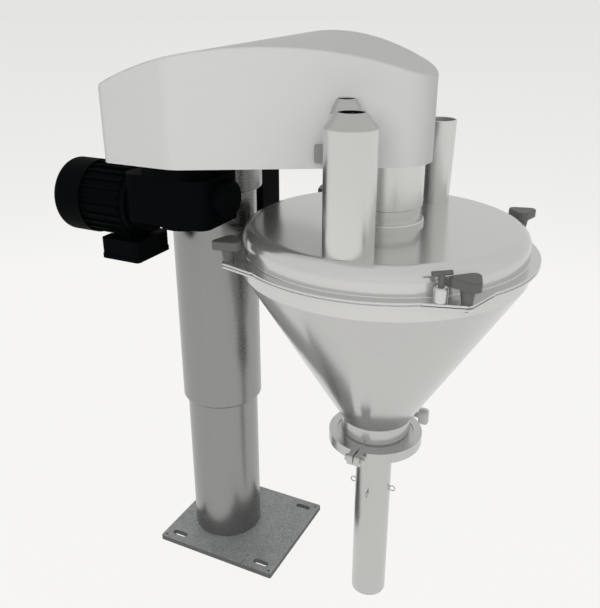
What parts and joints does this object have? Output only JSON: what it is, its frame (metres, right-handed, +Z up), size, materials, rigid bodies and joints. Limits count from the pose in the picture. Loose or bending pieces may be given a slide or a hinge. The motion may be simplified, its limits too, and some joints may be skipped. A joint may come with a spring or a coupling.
{
  "type": "auger powder filler",
  "caption": "Column-mounted auger powder filler: tapered drive head, gearmotor and servo, conical hopper with clamped lid, agitator and filler tube with a screw inside.",
  "frame": {"origin": "on the column's axis, on the underside of the base plate", "axes": "+Z up along the column, +X from the column to the hopper, +Y to the servo motor's side"},
  "size_m": [0.876, 0.572, 1.2043],
  "materials": {
    "white_paint": "satin white powder coat on sheet steel",
    "polished_steel": "polished stainless steel",
    "column_steel": "ground steel tube",
    "plate_grey": "grey cast finish",
    "motor_black": "matt black paint",
    "knob_grey": "dark grey moulded plastic",
    "plain_aluminium": "machined aluminium",
    "bearing_steel": "ground bearing steel",
    "bush_bronze": "turned bronze",
    "black_rubber": "black rubber",
    "white_gasket": "food-grade silicone"
  },
  "bodies": {
    "base": {"base_plate": "plate_grey", "column_tube": "column_steel"},
    "lift": {"lift_sleeve": "column_steel", "sleeve_set_screws": "bearing_steel"},
    "auger": {"auger": "polished_steel", "auger_pulley": "plain_aluminium"},
    "agitator": {"agitator_shaft": "polished_steel", "auger_bushes": "bush_bronze", "agitator_frame": "polished_steel", "agitator_pulley": "plain_aluminium"},
    "servo_drive": {"servo_shaft": "bearing_steel", "servo_pulley": "plain_aluminium"},
    "gearbox_drive": {"gearbox_shaft": "bearing_steel", "gearbox_pulley": "plain_aluminium"},
    "tee_screw": {"tee_screw": "knob_grey"},
    "clamp_wing_screw": {"clamp_wing_screw": "polished_steel"},
    "knob_front_right": {"lid_knob_front_right": "knob_grey"},
    "knob_back_right": {"lid_knob_back_right": "knob_grey"},
    "knob_back_left": {"lid_knob_back_left": "knob_grey"},
    "knob_front_left": {"lid_knob_front_left": "knob_grey"},
    "head": {"head_cover": "white_paint", "hopper": "polished_steel", "lid": "polished_steel", "lid_collar": "polished_steel", "seal_housing": "polished_steel", "neck_housing": "polished_steel", "front_vent_tube": "polished_steel", "rear_vent_tube": "polished_steel", "inlet_tube": "polished_steel", "filler_tube": "polished_steel", "tube_eyelets": "polished_steel", "clamp_half_left": "polished_steel", "clamp_half_right": "polished_steel", "clamp_bolt": "polished_steel", "vent_clip": "polished_steel", "swivel_collar": "column_steel", "motor_body": "motor_black", "motor_fan_cover": "motor_black", "motor_end_bell": "motor_black", "motor_flange": "motor_black", "gearbox": "motor_black", "gearbox_cap": "motor_black", "terminal_box": "motor_black", "terminal_lid": "motor_black", "servo_motor": "motor_black", "servo_cap": "motor_black", "head_plate": "plain_aluminium", "neck_bearings": "bearing_steel", "bearing_spacer": "bearing_steel", "gearbox_screws": "bearing_steel", "servo_screws": "bearing_steel", "neck_screws": "bearing_steel", "thrust_washer": "bush_bronze", "auger_belt": "black_rubber", "agitator_belt": "black_rubber", "shaft_seal": "black_rubber", "lid_gasket": "white_gasket", "tube_gasket": "white_gasket"}
  },
  "joints": [
    {"name": "column_lift", "type": "slide", "parent": "base", "child": "lift", "axis": [0, 0, 1], "range_m": [-0.12, 0.15]},
    {"name": "head_swivel", "type": "hinge", "parent": "lift", "child": "head", "pos_m": [0, 0, 0.9], "axis": [0, 0, 1], "range_deg": [-90, 90]},
    {"name": "auger_spin", "type": "hinge", "parent": "head", "child": "auger", "pos_m": [0.378, 0, 0], "axis": [0, 0, 1], "continuous": true},
    {"name": "servo_spin", "type": "hinge", "parent": "head", "child": "servo_drive", "pos_m": [0.005, 0.156, 0.95], "axis": [0, 0, 1], "continuous": true},
    {"name": "agitator_spin", "type": "hinge", "parent": "head", "child": "agitator", "pos_m": [0.378, 0, 0], "axis": [0, 0, 1], "continuous": true},
    {"name": "gearbox_spin", "type": "hinge", "parent": "head", "child": "gearbox_drive", "pos_m": [0.045, -0.17, 0.95], "axis": [0, 0, 1], "continuous": true},
    {"name": "knob_front_right_turn", "type": "hinge", "parent": "head", "child": "knob_front_right", "pos_m": [0.59155, -0.21355, 0.8], "axis": [0, 0, 1], "range_deg": [0, 720]},
    {"name": "knob_back_right_turn", "type": "hinge", "parent": "head", "child": "knob_back_right", "pos_m": [0.59155, 0.21355, 0.8], "axis": [0, 0, 1], "range_deg": [0, 720]},
    {"name": "knob_back_left_turn", "type": "hinge", "parent": "head", "child": "knob_back_left", "pos_m": [0.16445, 0.21355, 0.8], "axis": [0, 0, 1], "range_deg": [0, 720]},
    {"name": "knob_front_left_turn", "type": "hinge", "parent": "head", "child": "knob_front_left", "pos_m": [0.16445, -0.21355, 0.8], "axis": [0, 0, 1], "range_deg": [0, 720]},
    {"name": "tee_screw_turn", "type": "hinge", "parent": "head", "child": "tee_screw", "pos_m": [0.55268, -0.22519, 0.807], "axis": [0, 0, 1], "range_deg": [0, 720]},
    {"name": "clamp_wing_turn", "type": "hinge", "parent": "head", "child": "clamp_wing_screw", "pos_m": [0.37991, 0.10948, 0.364], "axis": [-0.9998, 0.0175, 0], "range_deg": [0, 720]}
  ],
  "couplings": [
    {"joint": "servo_spin", "follows": "auger_spin", "ratio": 2},
    {"joint": "gearbox_spin", "follows": "agitator_spin", "ratio": 2}
  ]
}
